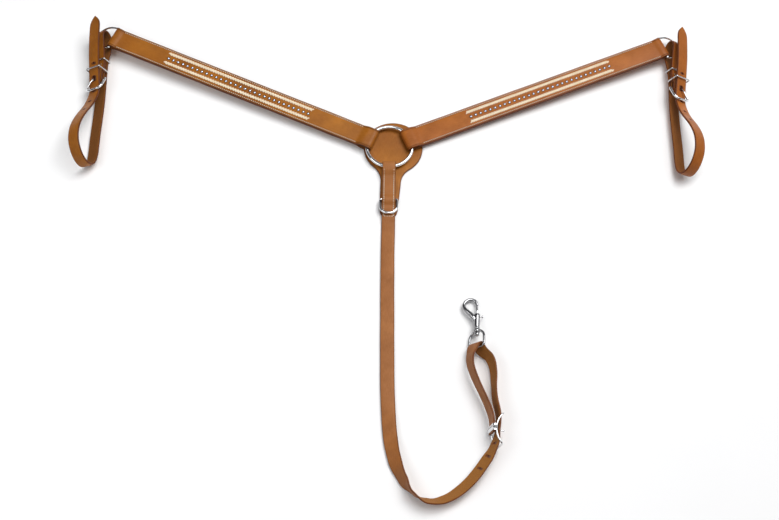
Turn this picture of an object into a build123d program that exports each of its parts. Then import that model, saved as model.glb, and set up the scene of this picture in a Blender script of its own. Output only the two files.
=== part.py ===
from build123d import *
import math
import os

# A western breast collar laid out on a level surface.  Millimetres and degrees.
# X runs from the left shoulder strap to the right one, Y from the girth strap towards the
# shoulder straps, and Z up from the surface that the collar lies on.
# The origin is under the centre of the chest ring, on the back of its leather guard.

# ---- driving dimensions ---------------------------------------------------------------
PLY = 3.4                 # strap leather
LAYER_GAP = 0.1           # between sewn layers
FREE_GAP = 0.35           # between parts that move over each other

RING_RADIUS = 43.7        # chest ring, to the wire's centre
RING_WIRE = 6.6
RING_PLAY = 0.45          # round the wire, inside each fold
GUARD_THICKNESS = 3.0
GUARD_DISC_RADIUS = 56.7
GUARD_FLARE = 38.0        # radius of the concave throat
GUARD_SKEW = -3.0

SHOULDER_WIDTH = 44.4
SHOULDER_REACH = 600.0    # ring centre to the outer fold
SHOULDER_END_HEIGHT = 24.5
SHOULDER_ANGLE = {"left": 180.0 - 22.3, "right": 23.7}
TURN_BACK = 45.0
TRIM_START = 165.0        # lacing and spots, from the ring centre
TRIM_LENGTH = 316.0
LACING_ROW = 11.0
LACING_WIDTH = 4.6
SPOT_COUNT = 30
SPOT_RADIUS = 2.8
THREAD_INSET = 3.5
THREAD_WIDTH = 0.9

END_DEE_WIRE = 4.0
END_DEE_HALF = 24.6
END_DEE_LEG = 17.0
END_DEE_DROOP = 21.5

TUG_WIDTH = 24.0
TUG_PLY = 3.5
TUG_ROLL = 30.0
TUG_HEIGHT = 7.8          # middle of the rear layer above the surface
TUG_LEG_OUT = 14.5        # where the dee's leg crosses the middle of the tug
TUG_LEG_DEPTH = 13.2      # from the rear layer's middle to the dee's wire
HEEL_DROP = 79.0          # dee wire to buckle heel bar, along the tug
HEEL_DEPTH = 13.0         # rear layer to heel bar
FRAME_WIRE = 4.5
FRAME_HALF = 18.5
FRAME_LENGTH = 32.5
FRAME_PITCH = 22.6
KEEPER_WIRE = 2.6
HOLE_RADIUS = 2.1
HOLE_PITCH = 27.0

CENTER_WIDTH = 25.4
CENTER_PLY = 3.2
TAIL_DEE_WIRE = 5.0
TAIL_DEE_HALF = 15.9
TAIL_DEE_LENGTH = 31.5
TAIL_DEE_Y = -113.0
FLEX_Y = -178.0
FLEX_GAP = 1.6            # half the gap between the two strap solids at the bend

CONWAY_CENTRE = (193.4, -567.2, 18.6)
CONWAY_LEAN = 12.0        # of the strap past vertical, where it runs through the buckle
CONWAY_TURN = 4.0
CONWAY_RAIL = 3.0
CONWAY_HALF = 28.0
CONWAY_RAIL_HALF = 14.9
CONWAY_BAR_DEPTH = -6.0
CONWAY_END_DEPTH = 6.4
OUTER_LAYER_DEPTH = 0.7
INNER_LAYER_DEPTH = -9.4

SNAP_BAR = (160.4, -413.6, 17.4)
SNAP_TURN = 2.2
SNAP_DROOP = 7.5
SNAP_EYE_LEAN = 45.0
SNAP_EYE_WIRE = 4.4
SNAP_EYE_HALF = 16.8
SNAP_EYE_LENGTH = 33.0
SNAP_POST = 2.5
SNAP_BARREL = 5.3
SNAP_BORE = 2.9
SNAP_BOLT = 2.3
SNAP_TRAVEL = 11.0

# ---- derived ----------------------------------------------------------------------------
RING_Z = GUARD_THICKNESS + FREE_GAP + PLY + RING_PLAY + RING_WIRE / 2
POCKET_HALF = RING_WIRE / 2 + RING_PLAY + PLY / 2
POCKET_CENTRE = 37.1
END_HALF = END_DEE_WIRE / 2 + 0.25 + PLY / 2
DEE_BAR_X = SHOULDER_REACH - END_HALF - PLY / 2
FACE_Z = (PLY + LAYER_GAP) / 2
STRAP_RISE = math.degrees(math.atan2(SHOULDER_END_HEIGHT - RING_Z, DEE_BAR_X - POCKET_CENTRE))


# ---- helpers ------------------------------------------------------------------------------
def ribbon(centres, across, width, thickness):
    """A flat strap whose middle line runs through the centres."""
    sections = []
    last = len(centres) - 1
    for index, centre in enumerate(centres):
        along = centres[min(index + 1, last)] - centres[max(index - 1, 0)]
        plane = Plane(origin=centre, x_dir=across[index], z_dir=along.normalized())
        flat = along.normalized()
        side = (across[index] - flat * across[index].dot(flat)).normalized()
        plane = Plane(origin=centre, x_dir=side, z_dir=flat)
        sections.append(plane * Rectangle(width, thickness))
    return loft(sections, ruled=True)


def arc_points(centre, radius, start, end, count):
    """Points on an arc of a side profile, from one angle to another."""
    points = []
    for step in range(count + 1):
        angle = math.radians(start + (end - start) * step / count)
        points.append((centre[0] + radius * math.cos(angle), centre[1] + radius * math.sin(angle)))
    return points


def smooth(points, count, start=None, end=None):
    """Evenly spread points along a smooth curve through the given ones."""
    tangents = [start, end] if start else []
    curve = Spline(*points, tangents=tangents)
    return [curve @ (step / count) for step in range(count + 1)]


def profile_strap(profile, width, thickness):
    """A strap drawn as a side profile in X and Z, as wide as width along Y."""
    centres = [Vector(x, 0, z) for x, z in profile]
    return ribbon(centres, [Vector(0, 1, 0)] * len(centres), width, thickness)


def wire_loop(corners, radii, wire):
    """A closed ring of round wire through corners in the XY plane, rounded by radii."""
    path = FilletPolyline(*corners, radius=radii, close=True)
    start = path @ 0
    section = Plane(origin=start, z_dir=path % 0) * Circle(wire / 2)
    return sweep(section, path=path)


def rod(start, end, radius):
    """A round rod between two points."""
    axis = Vector(*end) - Vector(*start)
    return extrude(Plane(origin=start, z_dir=axis.normalized()) * Circle(radius), axis.length)


def tube(points, radii):
    """A round bar of changing thickness through points, with rounded ends."""
    last = len(points) - 1
    sections = []
    for index, point in enumerate(points):
        along = points[min(index + 1, last)] - points[max(index - 1, 0)]
        sections.append(Plane(origin=point, z_dir=along.normalized()) * Circle(radii[index]))
    return loft(sections, ruled=True)


def write(node, shape):
    """One STEP file per node."""
    shape.label = node
    export_step(shape, f"parts/{node}.step")


# ---- chest ring and its drop ----------------------------------------------------------------
def center_ring():
    return Pos(0, 0, RING_Z) * Torus(RING_RADIUS, RING_WIRE / 2)


def ring_guard():
    """Keyhole-shaped leather behind the ring, with flared throat and tapered tail."""
    tail = Polygon((-19.5, -30), (19.5, -30), (19.5, -75), (17, -140), (9, -151),
                   (-9, -151), (-17, -140), (-19.5, -75), align=None)
    side_x = 19.5 + GUARD_FLARE
    drop = math.sqrt((GUARD_DISC_RADIUS + GUARD_FLARE) ** 2 - side_x ** 2)
    share = GUARD_DISC_RADIUS / (GUARD_DISC_RADIUS + GUARD_FLARE)
    throat = Pos(0, 2 - drop) * Rectangle(2 * side_x * share, drop, align=(Align.CENTER, Align.MIN))
    guard = extrude(throat, GUARD_THICKNESS, dir=(0, 0, 1))
    for x in (-side_x, side_x):
        guard -= Pos(x, 2 - drop, 0) * Cylinder(GUARD_FLARE, 3 * GUARD_THICKNESS)
    guard += extrude(Pos(0, 2) * Circle(GUARD_DISC_RADIUS), GUARD_THICKNESS, dir=(0, 0, 1))
    guard += extrude(tail, GUARD_THICKNESS, dir=(0, 0, 1))
    return Pos(0, -140) * Rot(0, 0, GUARD_SKEW) * Pos(0, 140) * guard


BACK_Z = GUARD_THICKNESS + LAYER_GAP + CENTER_PLY / 2
OVER_Z = BACK_Z + CENTER_PLY + LAYER_GAP
DEE_BAR_Z = GUARD_THICKNESS + 0.2 + TAIL_DEE_WIRE / 2
DEE_OVER_Z = DEE_BAR_Z + TAIL_DEE_WIRE / 2 + 0.3 + CENTER_PLY / 2
FLOOR_Z = 0.1 + CENTER_PLY / 2
FOLD_RADIUS = RING_Z - BACK_Z
FOLD_Y = -41.4


def hanger_profile():
    """Side profile, as distance from the ring centre towards the girth, and height."""
    back = [(-TAIL_DEE_Y - 4.5, BACK_Z), (60, BACK_Z), (-FOLD_Y, BACK_Z)]
    fold = arc_points((-FOLD_Y, RING_Z), FOLD_RADIUS, 270, 90, 10)[1:]
    dee = -TAIL_DEE_Y
    front = [(52, fold[-1][1]), (64, OVER_Z), (dee - 7.5, OVER_Z), (dee - 2, DEE_OVER_Z),
             (dee + 2.5, DEE_OVER_Z), (dee + 13, BACK_Z), (152, BACK_Z), (163, FLOOR_Z),
             (-FLEX_Y - FLEX_GAP, FLOOR_Z)]
    return back + fold + front


def center_strap():
    return Rot(0, 0, -90) * profile_strap(hanger_profile(), CENTER_WIDTH, CENTER_PLY)


def center_stitching():
    """Two rows of thread along the front of the hanger, above the tail dee and below it."""
    row = CENTER_WIDTH / 2 - THREAD_INSET
    threads = []
    for x in (-row, row):
        upper_z = OVER_Z + CENTER_PLY / 2 + 0.05
        upper = (66, -TAIL_DEE_Y - 9)
        lower_z = BACK_Z + CENTER_PLY / 2 + 0.05
        lower = (-TAIL_DEE_Y + 14, 150)
        for (near, far), z in ((upper, upper_z), (lower, lower_z)):
            bar = Box(THREAD_WIDTH, far - near, 0.5, align=(Align.CENTER, Align.MAX, Align.MIN))
            threads.append(Pos(x, -near, z) * bar)
    return Compound(children=threads)


def tail_dee():
    """Dee sewn under the hanger, its bow lying on the strap."""
    half, length = TAIL_DEE_HALF, TAIL_DEE_LENGTH
    corners = [(-half, 0), (half, 0), (half, -length), (-half, -length)]
    loop = wire_loop(corners, [3.6, 3.6, half - 0.3, half - 0.3], TAIL_DEE_WIRE)
    return Pos(0, TAIL_DEE_Y, DEE_BAR_Z) * Rot(-9, 0, 0) * loop


# ---- shoulder straps --------------------------------------------------------------------------
def shoulder_place(side):
    """From the strap's own frame to the collar's: X along the strap, Z out of its face."""
    lift = Pos(POCKET_CENTRE, 0, 0) * Rot(0, -STRAP_RISE, 0) * Pos(-POCKET_CENTRE, 0, 0)
    return Pos(0, 0, RING_Z) * Rot(0, 0, SHOULDER_ANGLE[side]) * lift


def pocket_profile(centre, half, outward, ramp):
    """The fold round a wire, from the strap's back to its face."""
    away = ramp * outward
    fold = arc_points((centre, 0), half, 270, 90, 10) if outward > 0 else \
        arc_points((centre, 0), half, -90, 90, 10)
    below = [(centre + away * 2, -FACE_Z), (centre + away, -half)]
    above = [(centre + away, half), (centre + away * 2, FACE_Z)]
    return below + fold + above


def shoulder_front():
    """The face leather, wrapped over the ring and the end dee and turned back behind."""
    ring_end = pocket_profile(POCKET_CENTRE, POCKET_HALF, 1, 13.5)
    dee_end = pocket_profile(DEE_BAR_X, END_HALF, -1, 6.0)
    start = (POCKET_CENTRE + 27 + TURN_BACK, -FACE_Z)
    end = (DEE_BAR_X - 12 - TURN_BACK, -FACE_Z)
    profile = [start] + ring_end + list(reversed(dee_end)) + [end]
    return profile_strap(profile, SHOULDER_WIDTH, PLY)


def shoulder_lining():
    """The back leather between the two turned-back ends."""
    start = POCKET_CENTRE + 27 + TURN_BACK + 0.3
    end = DEE_BAR_X - 12 - TURN_BACK - 0.3
    lining = Box(end - start, SHOULDER_WIDTH, PLY, align=(Align.MIN, Align.CENTER, Align.CENTER))
    return Pos(start, 0, -FACE_Z) * lining


def shoulder_stitching():
    """A row of thread along each edge of the face."""
    start = POCKET_CENTRE + 29
    end = DEE_BAR_X - 14
    threads = []
    for y in (-1, 1):
        bar = Box(end - start, THREAD_WIDTH, 0.5, align=(Align.MIN, Align.CENTER, Align.MIN))
        threads.append(Pos(start, y * (SHOULDER_WIDTH / 2 - THREAD_INSET), FACE_Z + PLY / 2 + 0.05) * bar)
    return Compound(children=threads)


def rawhide_lacing(y):
    """A laced band of rawhide lying on the face."""
    band = Box(TRIM_LENGTH, LACING_WIDTH, 1.4, align=(Align.MIN, Align.CENTER, Align.MIN))
    band = fillet(band.edges().filter_by(Axis.X).group_by(Axis.Z)[-1], 0.6)
    return Pos(TRIM_START, y, FACE_Z + PLY / 2 + 0.05) * band


def spots():
    """A row of small domed spots between the two bands of lacing."""
    height = 1.7
    dome_radius = (SPOT_RADIUS ** 2 + height ** 2) / (2 * height)
    dome = Pos(0, 0, height - dome_radius) * Sphere(dome_radius)
    dome &= Box(9, 9, height, align=(Align.CENTER, Align.CENTER, Align.MIN))
    inset = 7.0
    pitch = (TRIM_LENGTH - 2 * inset) / (SPOT_COUNT - 1)
    row = []
    for index in range(SPOT_COUNT):
        row.append(Pos(TRIM_START + inset + pitch * index, 0, FACE_Z + PLY / 2 + 0.05) * dome)
    return Compound(children=row)


def dee_place(side):
    """From the end dee's own frame to the collar's: X out of the strap, bar along Y."""
    return shoulder_place(side) * Pos(DEE_BAR_X, 0, 0) * Rot(0, END_DEE_DROOP, 0)


def end_dee():
    half, leg = END_DEE_HALF, END_DEE_LEG
    far = leg + half
    corners = [(0, -half), (far, -half), (far, half), (0, half)]
    return wire_loop(corners, [3.2, half - 0.3, half - 0.3, 3.2], END_DEE_WIRE)


# ---- tugs ----------------------------------------------------------------------------------------
def tug_place(side):
    """From the tug's own frame to the collar's.

    In that frame X is across the strap, Y along it towards the dee, Z out of its face,
    and the origin is the middle of the rear layer level with the dee's wire."""
    inward = 1 if side == "left" else -1
    crossing = (dee_place(side) * Pos(TUG_LEG_OUT, inward * END_DEE_HALF, 0)).position
    roll = Rot(0, -TUG_ROLL * inward, 0)
    offset = (Pos(0, 0, 0) * roll * Pos(0, 0, TUG_LEG_DEPTH)).position
    return Pos(crossing.X - offset.X, crossing.Y, TUG_HEIGHT) * roll


def tug_path():
    """Side profile of the whole tug, as (along, out of face), from its tip to its end."""
    tip = [(53.5, 44.5), (26, 42.0), (-19, 36.4), (-59, 28.6), (-83, 23.6), (-108, 19.4)]
    loop = [(-128, 23.0), (-149, 31.0), (-168, 41.5), (-188, 51.0), (-208, 57.0), (-226, 57.8),
            (-240, 55.0), (-252, 49.0), (-262, 41.0), (-269, 31.5), (-272.5, 21.0), (-270, 10.5),
            (-261, 3.2), (-248, 0.2)]
    rear = [(-225, 0.0), (-180, 0.0), (-129, 0.0), (-84, 2.6), (-49, 4.8), (-29, 4.2), (-6, 1.0)]
    bight = [(9, 1.0), (20.5, 4.6), (28, 12.5), (28.5, 22.0), (21, 28.0), (9, 26.0), (-8, 21.3)]
    middle = [(-33, 16.6), (-48, 15.2)]
    return tip, loop, rear, bight, middle


def tug_strap():
    """Tip, loop, bight over the dee, and the end turned back round the buckle's heel bar."""
    tip, loop, rear, bight, middle = tug_path()
    heel = (-HEEL_DROP, HEEL_DEPTH)
    bend = FRAME_WIRE / 2 + 0.2 + TUG_PLY / 2
    flat = [Vector(y, z) for y, z in tip + loop + rear + bight + middle]
    flat = flat + [Vector(-62, 15.6), Vector(-70, 17.0), Vector(heel[0], heel[1] + bend)]
    curve = smooth(flat, 150)
    points = [(p.X, p.Y) for p in curve]
    points += arc_points(heel, bend, 90, 270, 9)[1:]
    points += [(-69, 10.0), (-60, 11.6), (-48, 11.5), (-40, 11.9)]
    centres = [Vector(0, y, z) for y, z in points]
    strap = ribbon(centres, [Vector(1, 0, 0)] * len(centres), TUG_WIDTH, TUG_PLY)
    strap -= Pos(0, -HEEL_DROP + 1.5, HEEL_DEPTH) * Box(8.0, 16.0, 16.0)
    strap -= tip_cutter(tip)
    for along, out in hole_places():
        strap -= Pos(0, along, out) * Cylinder(HOLE_RADIUS, 9)
    strap -= Pos(0, -HEEL_DROP - 4, 24) * Box(6.6, 10, 9)
    return strap


def tip_cutter(tip):
    """What is cut away to leave an English point."""
    half = TUG_WIDTH / 2
    end = tip[0][0] + 1
    start = end - 19
    left = Polygon((-half - 1, start - 4), (-half, start), (-8.5, start + 9), (0, end), (0, end + 6),
                   (-half - 6, end + 6), align=None)
    both = left + mirror(left, about=Plane.YZ)
    return Pos(0, 0, 30) * extrude(both, 30)


def hole_places():
    """Adjustment holes of the front layer: one beyond the buckle, two short of it."""
    return [(-HEEL_DROP - 4 + HOLE_PITCH + 5, 30.0), (-HEEL_DROP - 4 - HOLE_PITCH, 20.5),
            (-HEEL_DROP - 4 - 2 * HOLE_PITCH + 3, 26.5)]


def buckle_place():
    return Pos(0, -HEEL_DROP, HEEL_DEPTH) * Rot(-FRAME_PITCH, 0, 0)


def buckle_frame():
    """Rounded dee frame: straight heel bar, side arms and a bowed front bar."""
    half, length = FRAME_HALF, FRAME_LENGTH
    corners = [(half, 0), (-half, 0), (-half, -length), (half, -length)]
    return wire_loop(corners, [3.4, 3.4, 12.0, 12.0], FRAME_WIRE)


def buckle_tongue(hand):
    """Wire tongue: an eye round the heel bar and an arched prong through the strap's hole."""
    eye = Rot(0, 90, 0) * Cylinder(FRAME_WIRE / 2 + 1.7, 3.4)
    eye -= Rot(0, 90, 0) * Cylinder(FRAME_WIRE / 2 + 0.08, 5)
    prong = [(0, 0.5, 3.1), (0, -3.0, 9.5), (-1.2, -9.5, 15.8), (-9.5, -27.5, 17.2)]
    pieces = []
    prong = [(x * hand, y, z) for x, y, z in prong]
    for start, end in zip(prong, prong[1:]):
        pieces.append(rod(start, end, 1.5))
        pieces.append(Pos(*end) * Sphere(1.5))
    shape = eye
    for piece in pieces:
        shape += piece
    return Pos(0, -HEEL_DROP, HEEL_DEPTH) * shape


def wire_keeper(along, low, high, half):
    """Rectangular wire loop round the layers, standing across the tug."""
    corners = [(-half, low), (half, low), (half, high), (-half, high)]
    loop = wire_loop(corners, [2.4] * 4, KEEPER_WIRE)
    return Pos(0, along, 0) * Rot(90, 0, 0) * Pos(0, 0, 0) * loop


def front_keeper():
    return wire_keeper(-HEEL_DROP + 17, 7.8, 33.2, 16.5)


def rear_keeper():
    return wire_keeper(-HEEL_DROP + 43, 0.9, 20.1, 14.0)


def tug_stitching():
    """Thread across the turned-back end above the buckle."""
    threads = []
    for y in (-54, -46):
        threads.append(Pos(0, y, 17.45) * Box(17, THREAD_WIDTH, 0.5))
    return Compound(children=threads)


# ---- girth strap, its buckle and snap --------------------------------------------------------------
def conway_place():
    """From the buckle's own frame to the collar's: Y along the strap, Z out of its outer face."""
    return Pos(*CONWAY_CENTRE) * Rot(0, 0, -CONWAY_TURN) * Rot(0, 90 + CONWAY_LEAN, 0)


def snap_place():
    """From the snap's own frame to the collar's: Y from the eye's bar to the hook."""
    return Pos(*SNAP_BAR) * Rot(0, 0, -SNAP_TURN) * Rot(-SNAP_DROOP, 0, 0)


def tilted(angle):
    """Width direction of a strap on its edge, leaning over by angle from upright."""
    lean = math.radians(angle)
    return Vector(math.sin(lean), 0, math.cos(lean))


def floor_run():
    """Flat on the surface from the bend, then turned up on to its outer edge."""
    bend = FLEX_Y - FLEX_GAP
    run = [(0, bend, 0), (0, -250, 0), (0.5, -321, 0), (2, -420, 0), (4, -510, 0),
           (8.5, -572, 10), (16.5, -618, 30), (31, -655, 58), (49, -680, 96), (75, -693, 122),
           (103, -689, 133), (129, -673, 138), (154, -648, 138), (174, -620, 135)]
    lift = [0] * 9 + [0.4, 1.2, 2.6, 4.6, 6.6]
    stations = []
    for (x, y, lean), up in zip(run, lift):
        tip = math.radians(lean)
        half_height = abs(math.sin(tip)) * CENTER_WIDTH / 2 + abs(math.cos(tip)) * CENTER_PLY / 2
        stations.append((Vector(x, y, 0.1 + half_height + up), tip))
    return stations


def girth_path():
    """Middle points of the strap and its width directions, from the bend to its end."""
    stations = floor_run()
    centres = [centre for centre, tip in stations]
    guide = Spline(*centres)
    widths = []
    for centre, tip in stations:
        heading = guide % guide.param_at_point(centre)
        inward = Vector(-heading.Y, heading.X, 0).normalized()
        widths.append(inward * math.cos(tip) + Vector(0, 0, math.sin(tip)))
    place = conway_place()
    for along, offset, lean in ((-30, -5.2, 19), (0, 0, 0), (27, 0, 0)):
        centres.append((place * Pos(0, along, OUTER_LAYER_DEPTH + offset)).position)
        widths.append(tilted(CONWAY_LEAN + lean))
    loop = [(191.6, -514, 16.2, 12), (190.2, -488, 15.2, 12), (190.2, -460, 14.2, 18),
            (181.0, -429, 13.4, 26), (166.9, -414.2, 13.2, 45), (160.7, -407.2, 17.4, 45),
            (154.4, -414.2, 21.4, 45), (148.2, -432, 19.6, 24), (152.8, -462, 18.0, 16),
            (166.5, -496, 17.8, 12), (179.0, -527, 18.2, 12)]
    for x, y, z, lean in loop:
        centres.append(Vector(x, y, z))
        widths.append(tilted(lean))
    for along, offset in ((14, -0.9), (5, -0.4), (-8, -0.2)):
        centres.append((place * Pos(0, along, INNER_LAYER_DEPTH + offset)).position)
        widths.append(tilted(CONWAY_LEAN))
    return centres, widths


def above_surface(centre, heading, width):
    """The centre, lifted where its section would dip under the surface."""
    flat = (width - heading * width.dot(heading)).normalized()
    normal = heading.cross(flat).normalized()
    need = abs(flat.Z) * CENTER_WIDTH / 2 + abs(normal.Z) * CENTER_PLY / 2 + 0.1
    return Vector(centre.X, centre.Y, max(centre.Z, need))


def girth_strap():
    """Twisting strap with a loop round the snap's eye and holes for the buckle's prong."""
    centres, widths = girth_path()
    curve = Spline(*centres)
    marks = [curve.param_at_point(centre) for centre in centres]
    points = []
    across = []
    steps = 170
    for step in range(steps + 1):
        share = step / steps
        index = max(i for i, mark in enumerate(marks) if mark <= share + 1e-6)
        index = min(index, len(marks) - 2)
        part = (share - marks[index]) / (marks[index + 1] - marks[index])
        part = part * part * (3 - 2 * part)
        across.append(widths[index] * (1 - part) + widths[index + 1] * part)
        points.append(above_surface(curve @ share, curve % share, across[-1]))
    strap = ribbon(points, across, CENTER_WIDTH, CENTER_PLY)
    place = conway_place()
    strap -= place * Pos(0, 0, OUTER_LAYER_DEPTH) * Cylinder(HOLE_RADIUS, 8)
    for back in (26, 52, 78):
        share = marks[15] - back / curve.length
        hole = min(range(steps + 1), key=lambda i: abs(i / steps - share))
        heading = points[hole + 1] - points[hole - 1]
        strap -= Plane(origin=points[hole], x_dir=heading,
                       z_dir=heading.cross(across[hole])) * Cylinder(HOLE_RADIUS, 8)
    return strap


def conway_frame():
    """Arched frame with side rails, end bars, a round middle bar and a flat keeper behind."""
    half = CONWAY_HALF + CONWAY_RAIL / 2
    outer = CONWAY_RAIL_HALF + CONWAY_RAIL / 2
    inner = CONWAY_RAIL_HALF - CONWAY_RAIL / 2
    rise = CONWAY_END_DEPTH - CONWAY_BAR_DEPTH
    bend = (CONWAY_HALF ** 2 + rise ** 2) / (2 * rise)
    middle = Circle(bend + CONWAY_RAIL / 2) - Circle(bend - CONWAY_RAIL / 2)
    arch = extrude(Plane.YZ * Pos(0, CONWAY_BAR_DEPTH + bend) * middle, outer, both=True)
    frame = arch & Pos(0, 0, CONWAY_BAR_DEPTH - 3) * Box(
        2 * outer, 2 * half, 2 * rise, align=(Align.CENTER, Align.CENTER, Align.MIN))
    frame -= Box(2 * inner, 2 * half - 2 * CONWAY_RAIL, 60)
    frame += rod((-inner - 1, 0, CONWAY_BAR_DEPTH), (inner + 1, 0, CONWAY_BAR_DEPTH), CONWAY_RAIL / 2)
    floor = INNER_LAYER_DEPTH - CENTER_PLY / 2 - 0.9
    rise_up = CONWAY_BAR_DEPTH - floor + 0.6
    foot = (Align.CENTER, Align.CENTER, Align.MIN)
    band = Pos(0, 0, floor - 1.3) * Box(2 * outer, 12, rise_up + 1.3, align=foot)
    band -= Pos(0, 0, floor) * Box(2 * inner, 14, 12, align=foot)
    return frame + band


def conway_prong():
    """Prong clasped on the middle bar, standing through the strap's hole."""
    clasp = Pos(0, 0, CONWAY_BAR_DEPTH) * Rot(0, 90, 0) * Cylinder(CONWAY_RAIL / 2 + 1.3, 5)
    clasp -= Pos(0, 0, CONWAY_BAR_DEPTH) * Rot(0, 90, 0) * Cylinder(CONWAY_RAIL / 2 + 0.05, 7)
    clasp -= Pos(0, 0, CONWAY_BAR_DEPTH - 5) * Box(8, 8, 7.6)
    pin = rod((0, 0, CONWAY_BAR_DEPTH + CONWAY_RAIL / 2 + 0.4), (0, 0, 11.5), 1.5)
    return clasp + pin + Pos(0, 0, 11.5) * Sphere(1.5)


def snap_eye():
    """Wide eye for the strap, with a drilled boss at the crown of its arch."""
    half, length = SNAP_EYE_HALF, SNAP_EYE_LENGTH
    corners = [(-half, 0), (half, 0), (half, length), (-half, length)]
    eye = wire_loop(corners, [3.0, 3.0, half - 0.3, half - 0.3], SNAP_EYE_WIRE)
    eye += Pos(0, length, 0) * Rot(90, 0, 0) * Cylinder(5.2, 5.4)
    eye -= Pos(0, length, 0) * Rot(90, 0, 0) * Cylinder(SNAP_POST + 0.06, 9)
    return Rot(0, -SNAP_EYE_LEAN, 0) * eye


def snap_body():
    """Swivel post with its head, barrel for the bolt, and the hook."""
    start = SNAP_EYE_LENGTH + 3.0
    body = Pos(0, SNAP_EYE_LENGTH, 0) * Rot(90, 0, 0) * Cylinder(SNAP_POST, 8)
    head = rod((0, start - 13.5, 0), (0, start - 6.0, 0), 4.3)
    barrel = rod((0, start, 0), (0, start + 31, 0), SNAP_BARREL)
    hook = [(-1.5, 52, 2.6), (-5.5, 59.5, 4.0), (-10.5, 66, 4.0), (-17, 72, 3.4), (-22, 77.5, 2.9),
            (-24, 83, 2.6), (-23, 89, 2.5), (-19.5, 94, 2.5), (-14, 97.2, 2.6), (-8, 97.2, 2.7),
            (-2.8, 94, 2.7), (-0.6, 89.5, 2.5), (0, 85.5, 2.3)]
    arm = tube([Vector(x, y, 0) for x, y, r in hook], [r for x, y, r in hook])
    body = body + head + barrel + arm
    body -= rod((0, start + 4, 0), (0, start + 33, 0), SNAP_BORE)
    slot = Box(9, SNAP_TRAVEL + 4.2, 2.8, align=(Align.MIN, Align.CENTER, Align.CENTER))
    return body - Pos(1.5, 62.6 - SNAP_TRAVEL / 2, 0) * slot


def snap_bolt():
    """Sliding bolt whose end meets the hook's point, with a thumb knob through the slot."""
    bolt = rod((0, 54.5, 0), (0, 85.1, 0), SNAP_BOLT)
    bolt += rod((0, 54.5, 0), (0, 64.5, 0), SNAP_BORE - 0.08)
    bolt += rod((0, 62.6, 0), (10.0, 62.6, 0), 1.1)
    bolt += rod((8.8, 62.6, 0), (11.4, 62.6, 0), 2.6)
    return bolt


if __name__ == "__main__":
    os.makedirs("parts", exist_ok=True)
    write("center_ring", center_ring())
    write("ring_guard", ring_guard())
    write("center_strap", center_strap())
    write("center_stitching", center_stitching())
    write("tail_dee", tail_dee())
    for side in ("left", "right"):
        place = shoulder_place(side)
        write(f"{side}_shoulder_front", place * shoulder_front())
        write(f"{side}_shoulder_lining", place * shoulder_lining())
        write(f"{side}_shoulder_stitching", place * shoulder_stitching())
        upper = LACING_ROW if side == "right" else -LACING_ROW
        write(f"{side}_rawhide_upper", place * rawhide_lacing(upper))
        write(f"{side}_rawhide_lower", place * rawhide_lacing(-upper))
        write(f"{side}_spots", place * spots())
        write(f"{side}_end_dee", dee_place(side) * end_dee())
        tug = tug_place(side)
        write(f"{side}_tug_strap", tug * tug_strap())
        write(f"{side}_tug_stitching", tug * tug_stitching())
        write(f"{side}_buckle_frame", tug * buckle_place() * buckle_frame())
        write(f"{side}_buckle_tongue", tug * buckle_tongue(1 if side == "left" else -1))
        write(f"{side}_front_keeper", tug * front_keeper())
        write(f"{side}_rear_keeper", tug * rear_keeper())
    write("girth_strap", girth_strap())
    write("conway_frame", conway_place() * conway_frame())
    write("conway_prong", conway_place() * conway_prong())
    write("snap_eye", snap_place() * snap_eye())
    write("snap_body", snap_place() * snap_body())
    write("snap_bolt", snap_place() * snap_bolt())
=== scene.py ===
import math
import random

import bmesh
import bpy
import numpy as np
from mathutils import Matrix, Vector


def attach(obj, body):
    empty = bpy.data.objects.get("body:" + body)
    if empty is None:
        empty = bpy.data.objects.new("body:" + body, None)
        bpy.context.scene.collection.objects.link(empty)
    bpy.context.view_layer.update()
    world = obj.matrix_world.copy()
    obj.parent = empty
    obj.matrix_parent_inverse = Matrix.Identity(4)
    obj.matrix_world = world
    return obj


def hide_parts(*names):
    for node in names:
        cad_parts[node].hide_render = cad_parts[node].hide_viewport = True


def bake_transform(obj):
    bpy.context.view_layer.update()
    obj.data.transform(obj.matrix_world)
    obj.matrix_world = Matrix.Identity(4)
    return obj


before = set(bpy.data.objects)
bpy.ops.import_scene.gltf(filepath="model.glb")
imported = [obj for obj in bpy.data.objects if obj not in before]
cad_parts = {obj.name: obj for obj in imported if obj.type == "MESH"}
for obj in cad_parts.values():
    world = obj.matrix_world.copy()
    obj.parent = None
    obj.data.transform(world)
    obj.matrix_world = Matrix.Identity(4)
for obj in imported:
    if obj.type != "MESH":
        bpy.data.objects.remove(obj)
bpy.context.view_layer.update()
rng = random.Random(7)

# The collar's own measures, in millimetres, the same as in the model it is built around.
PLY = 3.4
LAYER_GAP = 0.1
RING_RADIUS = 43.7
RING_WIRE = 6.6
RING_Z = 10.5
SHOULDER_WIDTH = 44.4
SHOULDER_REACH = 600.0
SHOULDER_END_HEIGHT = 24.5
SHOULDER_ANGLE = {"left": 180.0 - 22.3, "right": 23.7}
TURN_BACK = 45.0
TRIM_START = 165.0
TRIM_LENGTH = 316.0
LACING_ROW = 11.0
SPOT_COUNT = 30
THREAD_INSET = 3.5
END_DEE_WIRE = 4.0
END_DEE_HALF = 24.6
END_DEE_LEG = 17.0
END_DEE_DROOP = 21.5
TUG_WIDTH = 24.0
TUG_PLY = 3.5
TUG_ROLL = 30.0
TUG_HEIGHT = 7.8
TUG_LEG_OUT = 14.5
TUG_LEG_DEPTH = 13.2
HEEL_DROP = 79.0
HEEL_DEPTH = 13.0
FRAME_WIRE = 4.5
FRAME_HALF = 18.5
FRAME_LENGTH = 32.5
FRAME_PITCH = 22.6
KEEPER_WIRE = 2.6
CENTER_WIDTH = 25.4
CENTER_PLY = 3.2
GUARD = 3.0
TAIL_DEE_WIRE = 5.0
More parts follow.
